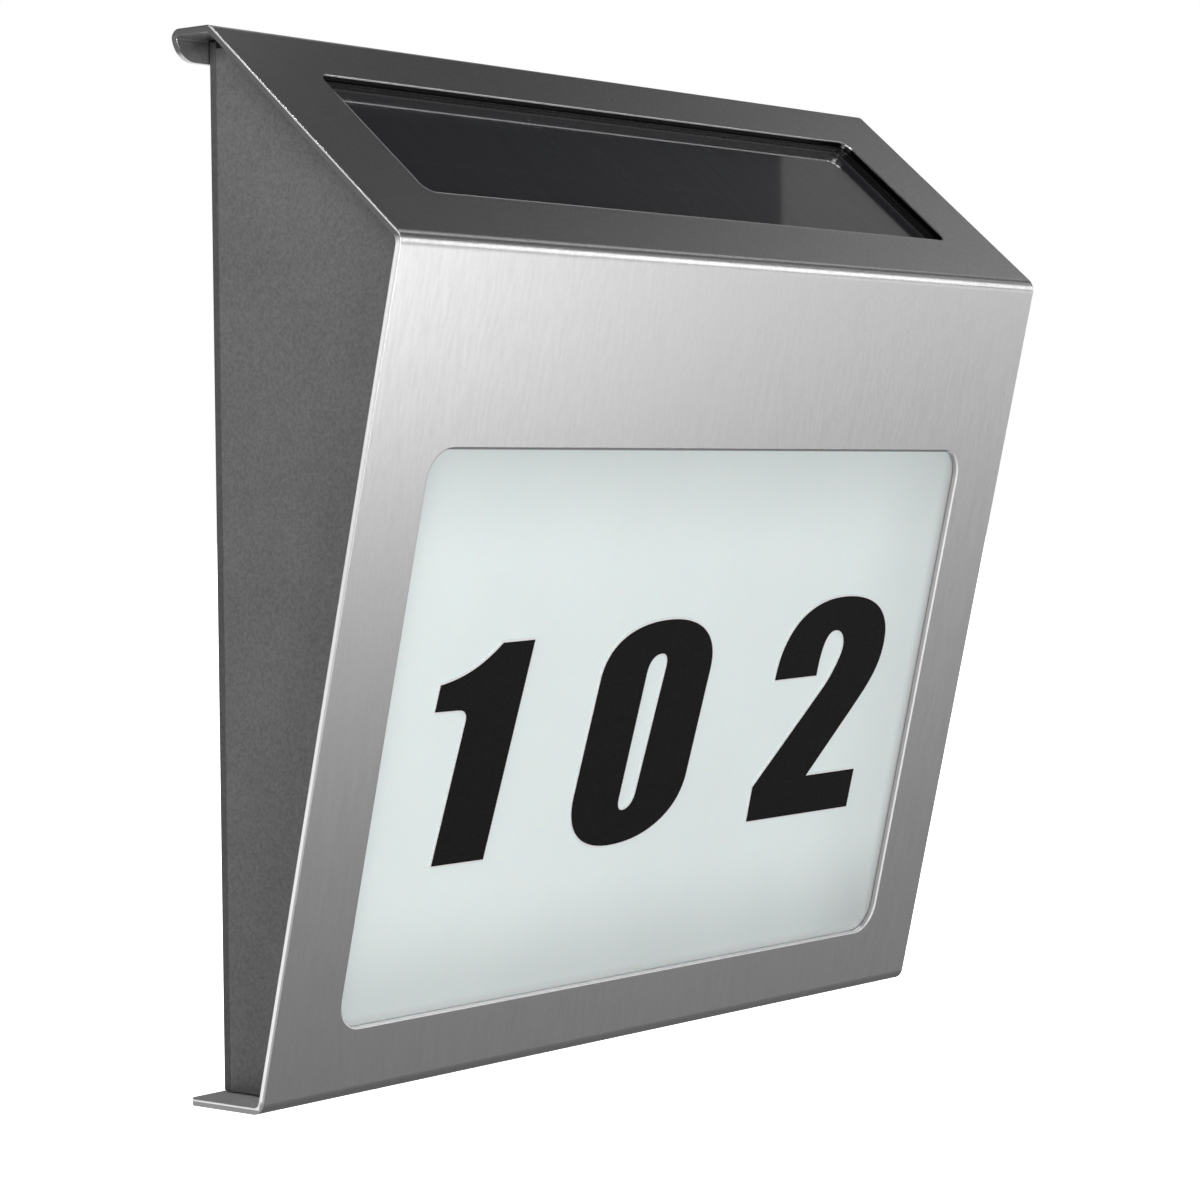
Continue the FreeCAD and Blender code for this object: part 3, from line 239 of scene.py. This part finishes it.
    # painted highlight: the upward-facing cut under the number window is painted near-white
    c = m.mix(sill, c, (0.97, 0.97, 0.97))
    c = m.mix(arris_glint, c, (0.95, 0.95, 0.95))
    # cuts round the solar window: painted near-black as a painted reflection of the black bezel, with a painted
    # highlight on the outer strip
    c = m.mix(pane, c, m.mix(rind, (0.02, 0.02, 0.02), (0.85, 0.85, 0.85)))
    c = m.mix(m.math("MULTIPLY", brim_glint, 0.8), c, (0.90, 0.90, 0.90))
    shade = m.new("ShaderNodeMix", data_type="RGBA", blend_type="MULTIPLY")
    shade.inputs["Factor"].default_value = 1.0
    slots = [s for s in shade.inputs if s.type == "RGBA"]
    m.link(c, slots[0])
    m.link(speck, slots[1])
    base = [s for s in shade.outputs if s.type == "RGBA"][0]
    # the deburred arrises of the window and the inside of the lip are dull and scatter light
    lip = m.math("MULTIPLY", m.span(depth, 0.00112, 0.00118), m.math("LESS_THAN", z, -0.1475))
    dull_spot = m.math("MAXIMUM", m.math("MAXIMUM", m.math("MULTIPLY", sill, 0.9), m.math("MULTIPLY", lip, 0.7)), m.math("MULTIPLY", jamb, m.span(rind, 0, 1, 0.55, 0.9)))
    dull_spot = m.math("MAXIMUM", dull_spot, m.math("MULTIPLY", arris_glint, 0.9))
    dull_spot = m.math("MAXIMUM", dull_spot, m.math("MULTIPLY", brim_glint, 0.3))
    m.set(
        Base_Color=base,
        Metallic=m.math("SUBTRACT", 1.0, dull_spot),
        Roughness=m.math("ADD", m.span(grain, 0.3, 0.7, 0.35, 0.30), m.math("MULTIPLY", dull_spot, 0.12)),
        Anisotropic=0.55,
        Anisotropic_Rotation=0.25,
        Normal=m.bump(grain, 0.000015, 0.4, m.soft_edge(0.00022)),
    )
    tangent = m.new("ShaderNodeTangent", direction_type="RADIAL", axis="X")
    m.link(tangent.outputs[0], m.bsdf.inputs["Tangent"])
    return m


def moulded(name, dark, light, rough, grain=2600, depth=0.00003, edge=0.0003, mottle=0.5):
    """fine-grained plastic moulding"""
    m = Tree(name)
    pores = m.noise(m.pos, scale=grain, detail=3, rough=0.6)
    cloud = m.noise(m.pos, scale=55, detail=3)
    tone = m.math("ADD", m.math("MULTIPLY", pores, 1 - mottle), m.math("MULTIPLY", cloud, mottle))
    m.set(
        Base_Color=m.ramp(tone, [(0.3, dark), (0.7, light)]),
        Roughness=m.span(tone, 0.3, 0.7, rough + 0.06, rough - 0.04),
        Normal=m.bump(pores, depth, 0.6, m.soft_edge(edge)),
        Specular_IOR_Level=0.5,
    )
    return m


def opal():
    m = Tree("opal_plate")
    # frame of the number window, in its own plane
    rel = m.new("ShaderNodeVectorMath", operation="SUBTRACT")
    m.link(m.pos, rel.inputs[0])
    rel.inputs[1].default_value = WINDOW
    u = m.dot(rel.outputs[0], (1, 0, 0))
    v = m.dot(rel.outputs[0], FACE_UP)
    # painted shade: a soft grey band is painted round the rim of the plate, wider at the right and at the bottom and
    # deeper towards the lower right corner
    right = m.span(u, 0.0800, 0.0843, 0, 1)
    left = m.span(u, -0.0812, -0.0842, 0, 1)
    low = m.span(v, -0.0508, -0.0535, 0, 1)
    high = m.span(v, 0.0523, 0.0535, 0, 1)
    painted_rim_shade = m.math("MAXIMUM", m.math("MAXIMUM", right, m.math("MULTIPLY", left, 0.25)), m.math("MAXIMUM", low, m.math("MULTIPLY", high, 0.6)))
    corner_shade = m.math("MULTIPLY", m.span(u, 0.060, 0.086), m.span(v, -0.030, -0.056))
    painted_rim_shade = m.math("MAXIMUM", painted_rim_shade, m.math("MULTIPLY", corner_shade, 0.5))
    # painted shade: the plate is painted darker towards the right, the top and the bottom
    painted_falloff = m.math("MULTIPLY", m.span(u, 0.050, 0.086, 1.0, 0.88), m.span(v, 0.030, 0.057, 1.0, 0.78))
    painted_falloff = m.math("MULTIPLY", painted_falloff, m.span(v, -0.028, -0.056, 1.0, 0.76))
    haze = m.noise(m.pos, scale=26, detail=2)
    speck = m.noise(m.pos, scale=3600, detail=2, rough=0.7)
    tone = m.math("ADD", m.math("MULTIPLY", haze, 0.6), m.math("MULTIPLY", speck, 0.4))
    plate = m.ramp(tone, [(0.35, (0.795, 0.866, 0.858)), (0.65, (0.830, 0.902, 0.892))])
    plate = m.mix(painted_falloff, (0.0, 0.0, 0.0), plate)
    # painted shadow: a thin dark line is painted along the top edge of the plate, under the edge of the cover
    m.set(
        Base_Color=m.mix(m.span(v, 0.05225, 0.0525, 0, 0.85), m.mix(m.math("MULTIPLY", painted_rim_shade, 0.55), plate, (0.38, 0.36, 0.36)), (0.10, 0.10, 0.10)),
        Roughness=m.span(speck, 0.3, 0.7, 0.42, 0.32),
        Normal=m.bump(speck, 0.00001, 0.4),
        Specular_IOR_Level=0.4,
    )
    m.bsdf.inputs["Subsurface Weight"].default_value = 0.25
    m.bsdf.inputs["Subsurface Scale"].default_value = 0.0015
    return m


def solar_glass():
    m = Tree("solar_glass")
    rel = m.new("ShaderNodeVectorMath", operation="SUBTRACT")
    m.link(m.pos, rel.inputs[0])
    rel.inputs[1].default_value = SOLAR
    u = m.dot(rel.outputs[0], (1, 0, 0))
    v = m.dot(rel.outputs[0], SLOPE_UP)

    def lines(c, pitch, half):
        """1 on thin lines a pitch apart"""
        f = m.math("FRACT", m.math("DIVIDE", c, pitch))
        d = m.math("MINIMUM", f, m.math("SUBTRACT", 1.0, f))
        return m.span(d, half / pitch, half / pitch * 0.5, 0, 1)

    finger = lines(u, 0.00115, 0.00017)
    bus = lines(m.math("ADD", v, 0.004), 0.0165, 0.00035)
    gap = lines(u, 0.0202, 0.00028)
    tone = m.noise(m.scaled(m.pos, 420, 30, 30), detail=3)
    cell = m.ramp(tone, [(0.3, (0.0100, 0.0102, 0.0135)), (0.7, (0.0165, 0.0168, 0.0205))])
    c = m.mix(m.math("MULTIPLY", finger, 0.14), cell, (0.062, 0.064, 0.068))
    c = m.mix(m.math("MULTIPLY", bus, 0.12), c, (0.07, 0.07, 0.075))
    c = m.mix(m.math("MULTIPLY", gap, 0.25), c, (0.006, 0.006, 0.007))
    m.set(
        Base_Color=c,
        Roughness=m.span(tone, 0.2, 0.8, 0.34, 0.26),
        Coat_Weight=1.0,
        Coat_Roughness=0.03,
        Specular_IOR_Level=0.3,
    )
    return m


def satin_black():
    m = Tree("satin_black")
    s = m.noise(m.pos, scale=3200, detail=2)
    w = m.noise(m.pos, scale=90, detail=2)
    # painted highlight: the thin wall of the bezel that stands on the glass is painted lighter
    rel = m.new("ShaderNodeVectorMath", operation="SUBTRACT")
    m.link(m.pos, rel.inputs[0])
    rel.inputs[1].default_value = SOLAR
    inner = m.frame_edge(m.dot(rel.outputs[0], (1, 0, 0)), m.dot(rel.outputs[0], SLOPE_UP), 0.0798, 0.0160, 0.0008)
    wall_glint = m.span(inner, 0.00008, 0.00002, 0, 1)
    tone = m.ramp(m.math("ADD", m.math("MULTIPLY", s, 0.25), m.math("MULTIPLY", w, 0.75)), [(0.3, 0.0065), (0.7, 0.0095)])
    m.set(
        Base_Color=m.mix(m.math("MULTIPLY", wall_glint, 0.8), tone, (0.045, 0.045, 0.045)),
        Roughness=m.span(s, 0.3, 0.7, 0.29, 0.27),
        Normal=m.bump(s, 0.000001, 0.3, m.soft_edge(0.00012)),
        Specular_IOR_Level=0.3,
    )
    return m


def film(name, dark, light, rough):
    m = Tree(name)
    s = m.noise(m.pos, scale=2400, detail=3)
    m.set(
        Base_Color=m.ramp(s, [(0.3, dark), (0.7, light)]),
        Roughness=m.span(s, 0.3, 0.7, rough + 0.05, rough - 0.05),
        Normal=m.bump(s, 0.000006, 0.4),
        Specular_IOR_Level=0.12,
    )
    return m


def rubber():
    m = Tree("soft_rubber")
    s = m.noise(m.pos, scale=2200, detail=4)
    m.set(
        Base_Color=m.ramp(s, [(0.3, 0.014), (0.7, 0.028)]),
        Roughness=m.span(s, 0.3, 0.7, 0.85, 0.68),
        Normal=m.bump(s, 0.00003, 0.6, m.soft_edge(0.0002)),
    )
    return m


def plated(name, dark, light, rough, scale=(700, 700, 700), edge=0.00015):
    """machined or plated metal with faint tool marks"""
    m = Tree(name)
    s = m.noise(m.scaled(m.pos, *scale), detail=4, rough=0.6)
    w = m.noise(m.pos, scale=180, detail=3)
    t = m.math("ADD", m.math("MULTIPLY", s, 0.6), m.math("MULTIPLY", w, 0.4))
    m.set(
        Base_Color=m.ramp(t, [(0.3, dark), (0.7, light)]),
        Metallic=1.0,
        Roughness=m.span(t, 0.3, 0.7, rough + 0.08, rough - 0.06),
        Normal=m.bump(t, 0.00001, 0.5, m.soft_edge(edge)),
    )
    return m


def board(name, dark, light, copper):
    """coated board with faint tracks and pads"""
    m = Tree(name)
    v = m.new("ShaderNodeTexVoronoi", distance="MANHATTAN", feature="F1")
    m.link(m.pos, v.inputs["Vector"])
    v.inputs["Scale"].default_value = 330
    track = m.span(v.outputs["Distance"], 0.62, 0.70, 0, 1)
    s = m.noise(m.pos, scale=700, detail=3)
    base = m.ramp(s, [(0.3, dark), (0.7, light)])
    m.set(
        Base_Color=m.mix(m.math("MULTIPLY", track, 0.5), base, copper),
        Roughness=m.span(s, 0.3, 0.7, 0.42, 0.30),
        Normal=m.bump(track, 0.00003, 0.5, m.soft_edge(0.0001)),
        Coat_Weight=0.4,
        Coat_Roughness=0.2,
    )
    return m


def emitter():
    m = Tree("light_emitter")
    s = m.noise(m.pos, scale=1500, detail=3)
    x, y, z = m.split(m.pos)
    inside = m.span(y, -0.01165, -0.01135, 1, 0)
    m.set(
        Base_Color=m.mix(inside, m.ramp(s, [(0.3, (0.80, 0.62, 0.14)), (0.7, (0.92, 0.78, 0.25))]), (0.86, 0.86, 0.84)),
        Roughness=m.span(s, 0.3, 0.7, 0.45, 0.3),
        Normal=m.bump(s, 0.00002, 0.4),
    )
    return m


def parts_black():
    m = Tree("component_cans")
    s = m.noise(m.pos, scale=900, detail=3)
    x, y, z = m.split(m.pos)
    tall = m.math("LESS_THAN", y, -0.0135)
    m.set(
        Base_Color=m.mix(tall, m.ramp(s, [(0.3, 0.018), (0.7, 0.04)]), (0.045, 0.05, 0.16)),
        Roughness=m.span(s, 0.3, 0.7, 0.5, 0.35),
        Normal=m.bump(s, 0.00002, 0.5, m.soft_edge(0.0002)),
    )
    return m


def cell_wrap():
    """shrink-wrapped cell: coloured sleeve, bare cap and a lighter band"""
    m = Tree("cell_wrap")
    x, y, z = m.split(m.pos)
    s = m.noise(m.scaled(m.pos, 90, 900, 900), detail=3)
    cap = m.math("LESS_THAN", x, -0.06535)
    band = m.math("GREATER_THAN", x, -0.0255)
    sleeve = m.ramp(s, [(0.3, (0.02, 0.17, 0.07)), (0.7, (0.03, 0.24, 0.10))])
    c = m.mix(band, sleeve, (0.62, 0.62, 0.60))
    c = m.mix(cap, c, (0.72, 0.71, 0.68))
    m.set(
        Base_Color=c,
        Metallic=m.math("MULTIPLY", cap, 1.0),
        Roughness=m.span(s, 0.3, 0.7, 0.34, 0.24),
        Normal=m.bump(s, 0.00002, 0.4, m.soft_edge(0.0002)),
    )
    return m


def lead_skin(name, dark, light):
    m = Tree(name)
    s = m.noise(m.pos, scale=1400, detail=3)
    m.set(
        Base_Color=m.ramp(s, [(0.3, dark), (0.7, light)]),
        Roughness=m.span(s, 0.3, 0.7, 0.5, 0.36),
        Normal=m.bump(s, 0.00002, 0.5),
    )
    return m


give(brushed_cover(), "front_cover")
give(moulded("housing_plastic", (0.062, 0.062, 0.064), (0.116, 0.116, 0.119), 0.48, grain=1700, mottle=0.22), "housing")
give(moulded("back_plastic", (0.032, 0.032, 0.034), (0.058, 0.058, 0.060), 0.55, grain=1700, mottle=0.22), "back_cover", "battery_door")
give(satin_black(), "solar_bezel")
give(solar_glass(), "solar_panel")
give(opal(), "diffuser")
give(film("black_film", 0.0045, 0.0075, 0.70), "digit_1", "digit_0", "digit_2")
give(film("white_film", 0.74, 0.84, 0.40), "digit_backings")
give(rubber(), "back_seal", "solar_seal", "diffuser_seal", "battery_door_seal", "wall_bumpers")
give(moulded("tray_plastic", (0.78, 0.78, 0.77), (0.88, 0.88, 0.87), 0.35, grain=900), "light_box")
give(board("white_board", (0.72, 0.72, 0.70), (0.82, 0.82, 0.80), (0.62, 0.60, 0.52)), "led_board")
give(board("green_board", (0.008, 0.075, 0.03), (0.012, 0.11, 0.045), (0.03, 0.17, 0.06)), "controller_board")
give(emitter(), "leds")
give(parts_black(), "board_parts")
give(moulded("switch_plastic", (0.012, 0.012, 0.013), (0.024, 0.024, 0.025), 0.42, grain=1800, edge=0.0001), "switch_body", "switch_knob")
give(cell_wrap(), "battery_cell")
give(plated("nickel", (0.62, 0.60, 0.56), (0.78, 0.76, 0.72), 0.22), "battery_contact_plate", "battery_contact_spring")
give(plated("screw_steel", (0.42, 0.42, 0.43), (0.62, 0.62, 0.63), 0.30), "back_cover_screws", "cover_screws", "board_screws", "led_board_screws", "battery_door_fastener")
give(plated("zinc_bracket", (0.40, 0.41, 0.43), (0.58, 0.59, 0.60), 0.38, scale=(60, 700, 700)), "wall_bracket")
give(lead_skin("lead_red", (0.30, 0.010, 0.010), (0.42, 0.018, 0.016)), "leads_red")
give(lead_skin("lead_black", (0.010, 0.010, 0.011), (0.020, 0.020, 0.021)), "leads_black")

# ------------------------------------------------------------------ floor
FLOOR = -0.62
bpy.ops.mesh.primitive_plane_add(size=160, location=(0, 0, FLOOR))
floor = bpy.context.object
floor.name = "studio_floor"
fm = Tree("studio_floor")
fs = fm.noise(fm.pos, scale=0.6, detail=2)
fm.set(Base_Color=fm.ramp(fs, [(0.3, 0.84), (0.7, 0.87)]), Roughness=0.9)
floor.data.materials.append(fm.mat)
floor.visible_glossy = False
floor.visible_diffuse = False
floor.visible_shadow = False

# the lamp is lit from below by a wide bounce disc in place of the floor: bright from a few metres
# out and dim nearby and to the front right, so the lower part of the number face mirrors a dim ground
ring_mesh = bpy.data.meshes.new("bounce_ring")
rb = bmesh.new()
inner_r, outer_r, steps = 0.05, 40.0, 96
loops = []
for r in (inner_r, outer_r):
    loops.append([rb.verts.new((r * math.cos(2 * math.pi * i / steps), r * math.sin(2 * math.pi * i / steps), 0)) for i in range(steps)])
for i in range(steps):
    j = (i + 1) % steps
    rb.faces.new((loops[0][i], loops[1][i], loops[1][j], loops[0][j]))
rb.to_mesh(ring_mesh)
rb.free()
bounce = bpy.data.objects.new("bounce_ring", ring_mesh)
scene.collection.objects.link(bounce)
bounce.location = (1.1, -1.6, FLOOR)
bounce.visible_camera = False
bounce.visible_shadow = False
bt = Tree("bounce_ring")
bx, by, bz = bt.split(bt.pos)
reach = bt.math("SQRT", bt.math("ADD", bt.math("POWER", bx, 2.0), bt.math("POWER", by, 2.0)))
bt.set(Base_Color=bt.ramp(bt.noise(bt.pos, scale=2), [(0.3, 0.0), (0.7, 0.01)]), Roughness=0.9, Emission_Strength=bt.span(reach, 2.17, 2.63, 0.14, 1.08))
bt.bsdf.inputs["Emission Color"].default_value = (1, 1, 1, 1)
ring_mesh.materials.append(bt.mat)


# ------------------------------------------------------------------ light
def area(name, at, look, size, power, color=(1, 1, 1), size_y=None):
    d = bpy.data.lights.new(name, "AREA")
    d.energy = power
    d.color = color
    d.shape = "RECTANGLE"
    d.size = size
    d.size_y = size_y or size
    o = bpy.data.objects.new(name, d)
    scene.collection.objects.link(o)
    o.location = at
    o.rotation_euler = (Vector(look) - Vector(at)).to_track_quat("-Z", "Y").to_euler()
    o.visible_camera = False
    return o


def card(name, edge, along, size, size_y, power):
    """a card whose upper edge runs through a point in a given direction and that faces the lamp"""
    o = area(name, edge, (0, 0, 0), size, power, size_y=size_y)
    x = Vector(along).normalized()
    z = Vector(edge) - x * Vector(edge).dot(x)
    z.normalize()
    y = z.cross(x)
    if y.z < 0:
        x, y = -x, -y
    m = Matrix((x, y, z)).transposed().to_4x4()
    m.translation = Vector(edge) - y * size_y / 2
    o.matrix_world = m
    return o


def ring(name, az, el, dist, size, size_y, power):
    """a soft box at a bearing round the lamp, from +X towards the viewer, and a height angle"""
    a, e = math.radians(az), math.radians(el)
    to = Vector((0, -0.03, -0.05))
    at = to + Vector((math.cos(e) * math.cos(a), -math.cos(e) * math.sin(a), math.sin(e))) * dist
    return area(name, at, to, size, power, size_y=size_y)


# a card up at the right shows in the right part of the solar glass
card("card_top_right", (1.66, 0.301, 1.143), (0.36, 0.92, 0.14), 0.9, 0.55, 0.40)
ring("fill_top_right", -25, 30, 2.0, 0.6, 0.6, 0.12)
ring("fill_top", 12, 45, 2.0, 0.4, 0.4, 0.70)
ring("bend_strip", 38, 13.5, 2.0, 0.5, 0.6, 4.3)
ring("bend_upper", 20, 27, 2.0, 0.5, 0.2, 0.4)
ring("rim_back", -40, 55, 2.0, 0.8, 0.8, 1.7)
ring("key_front_left", 117, -7, 2.0, 0.6, 0.3, 17.5)
ring("key_front", 85, -12, 2.0, 0.5, 0.2, 0.7)
ring("low_front_right", 60, -13.6, 2.0, 0.6, 0.2, 3.45)
ring("low_mid", 64, -17.8, 2.0, 0.5, 0.14, 2.6)
ring("soft_left", 222, 8, 1.2, 0.4, 0.3, 0.55)
area("side_card", (-0.36, -0.14, 0.12), (-0.09, -0.035, 0.0), 0.16, 0.78)
ring("soft_right", -8, 8, 2.0, 0.8, 0.8, 1.5)
ring("soft_back", 270, 20, 2.2, 1.0, 1.0, 3.0)

# the floor is lit from overhead; a small round flag above the lamp keeps that light off it
# and lays a soft shade on the floor below
sun_data = bpy.data.lights.new("overhead", "SUN")
sun_data.energy = 4.0
sun_data.angle = math.radians(12)
sun = bpy.data.objects.new("overhead", sun_data)
scene.collection.objects.link(sun)
sun.location = (0, 0, 4)
flag_mesh = bpy.data.meshes.new("flag")
bm = bmesh.new()
bmesh.ops.create_circle(bm, cap_ends=True, segments=96, radius=0.45)
bm.to_mesh(flag_mesh)
bm.free()
flag = bpy.data.objects.new("flag", flag_mesh)
scene.collection.objects.link(flag)
flag.location = (0.0, -0.03, 1.2)
flag.visible_camera = False
flag.visible_glossy = False
flag.visible_diffuse = False
fl = Tree("flag_cloth")
fl.set(Base_Color=fl.ramp(fl.noise(fl.pos, scale=40), [(0.3, 0.02), (0.7, 0.03)]), Roughness=0.95)
flag_mesh.materials.append(fl.mat)

world = bpy.data.worlds.new("studio")
scene.world = world
world.use_nodes = True
wt = world.node_tree
wt.nodes.clear()
wo = wt.nodes.new("ShaderNodeOutputWorld")
seen = wt.nodes.new("ShaderNodeBackground")
seen.inputs[0].default_value = (1, 1, 1, 1)
seen.inputs[1].default_value = 1.0
lit = wt.nodes.new("ShaderNodeBackground")
lit.inputs[0].default_value = (0.95, 0.97, 1.0, 1)
lit.inputs[1].default_value = 0.03
lp = wt.nodes.new("ShaderNodeLightPath")
mx = wt.nodes.new("ShaderNodeMixShader")
wt.links.new(lp.outputs["Is Camera Ray"], mx.inputs[0])
wt.links.new(lit.outputs[0], mx.inputs[1])
wt.links.new(seen.outputs[0], mx.inputs[2])
wt.links.new(mx.outputs[0], wo.inputs["Surface"])

# ------------------------------------------------------------------ camera
YAW, PITCH, ROLL = math.radians(51.207), math.radians(-1.851), math.radians(-0.6136)
fwd = Vector((math.sin(YAW) * math.cos(PITCH), math.cos(YAW) * math.cos(PITCH), math.sin(PITCH)))
right = fwd.cross(Vector((0, 0, 1))).normalized()
up = right.cross(fwd)
r2 = right * math.cos(ROLL) + up * math.sin(ROLL)
u2 = up * math.cos(ROLL) - right * math.sin(ROLL)
cam_data = bpy.data.cameras.new("camera")
cam_data.sensor_width = 36.0
cam_data.sensor_fit = "HORIZONTAL"
cam_data.lens = 99.98
cam_data.clip_start = 0.01
cam_data.clip_end = 400
cam = bpy.data.objects.new("camera", cam_data)
scene.collection.objects.link(cam)
m4 = Matrix((r2, u2, -fwd)).transposed().to_4x4()
m4.translation = Vector((-0.51224, -0.42664, -0.04307))
cam.matrix_world = m4
scene.camera = cam
scene.view_settings.view_transform = "Standard"
scene.view_settings.look = "None"

bpy.context.view_layer.update()
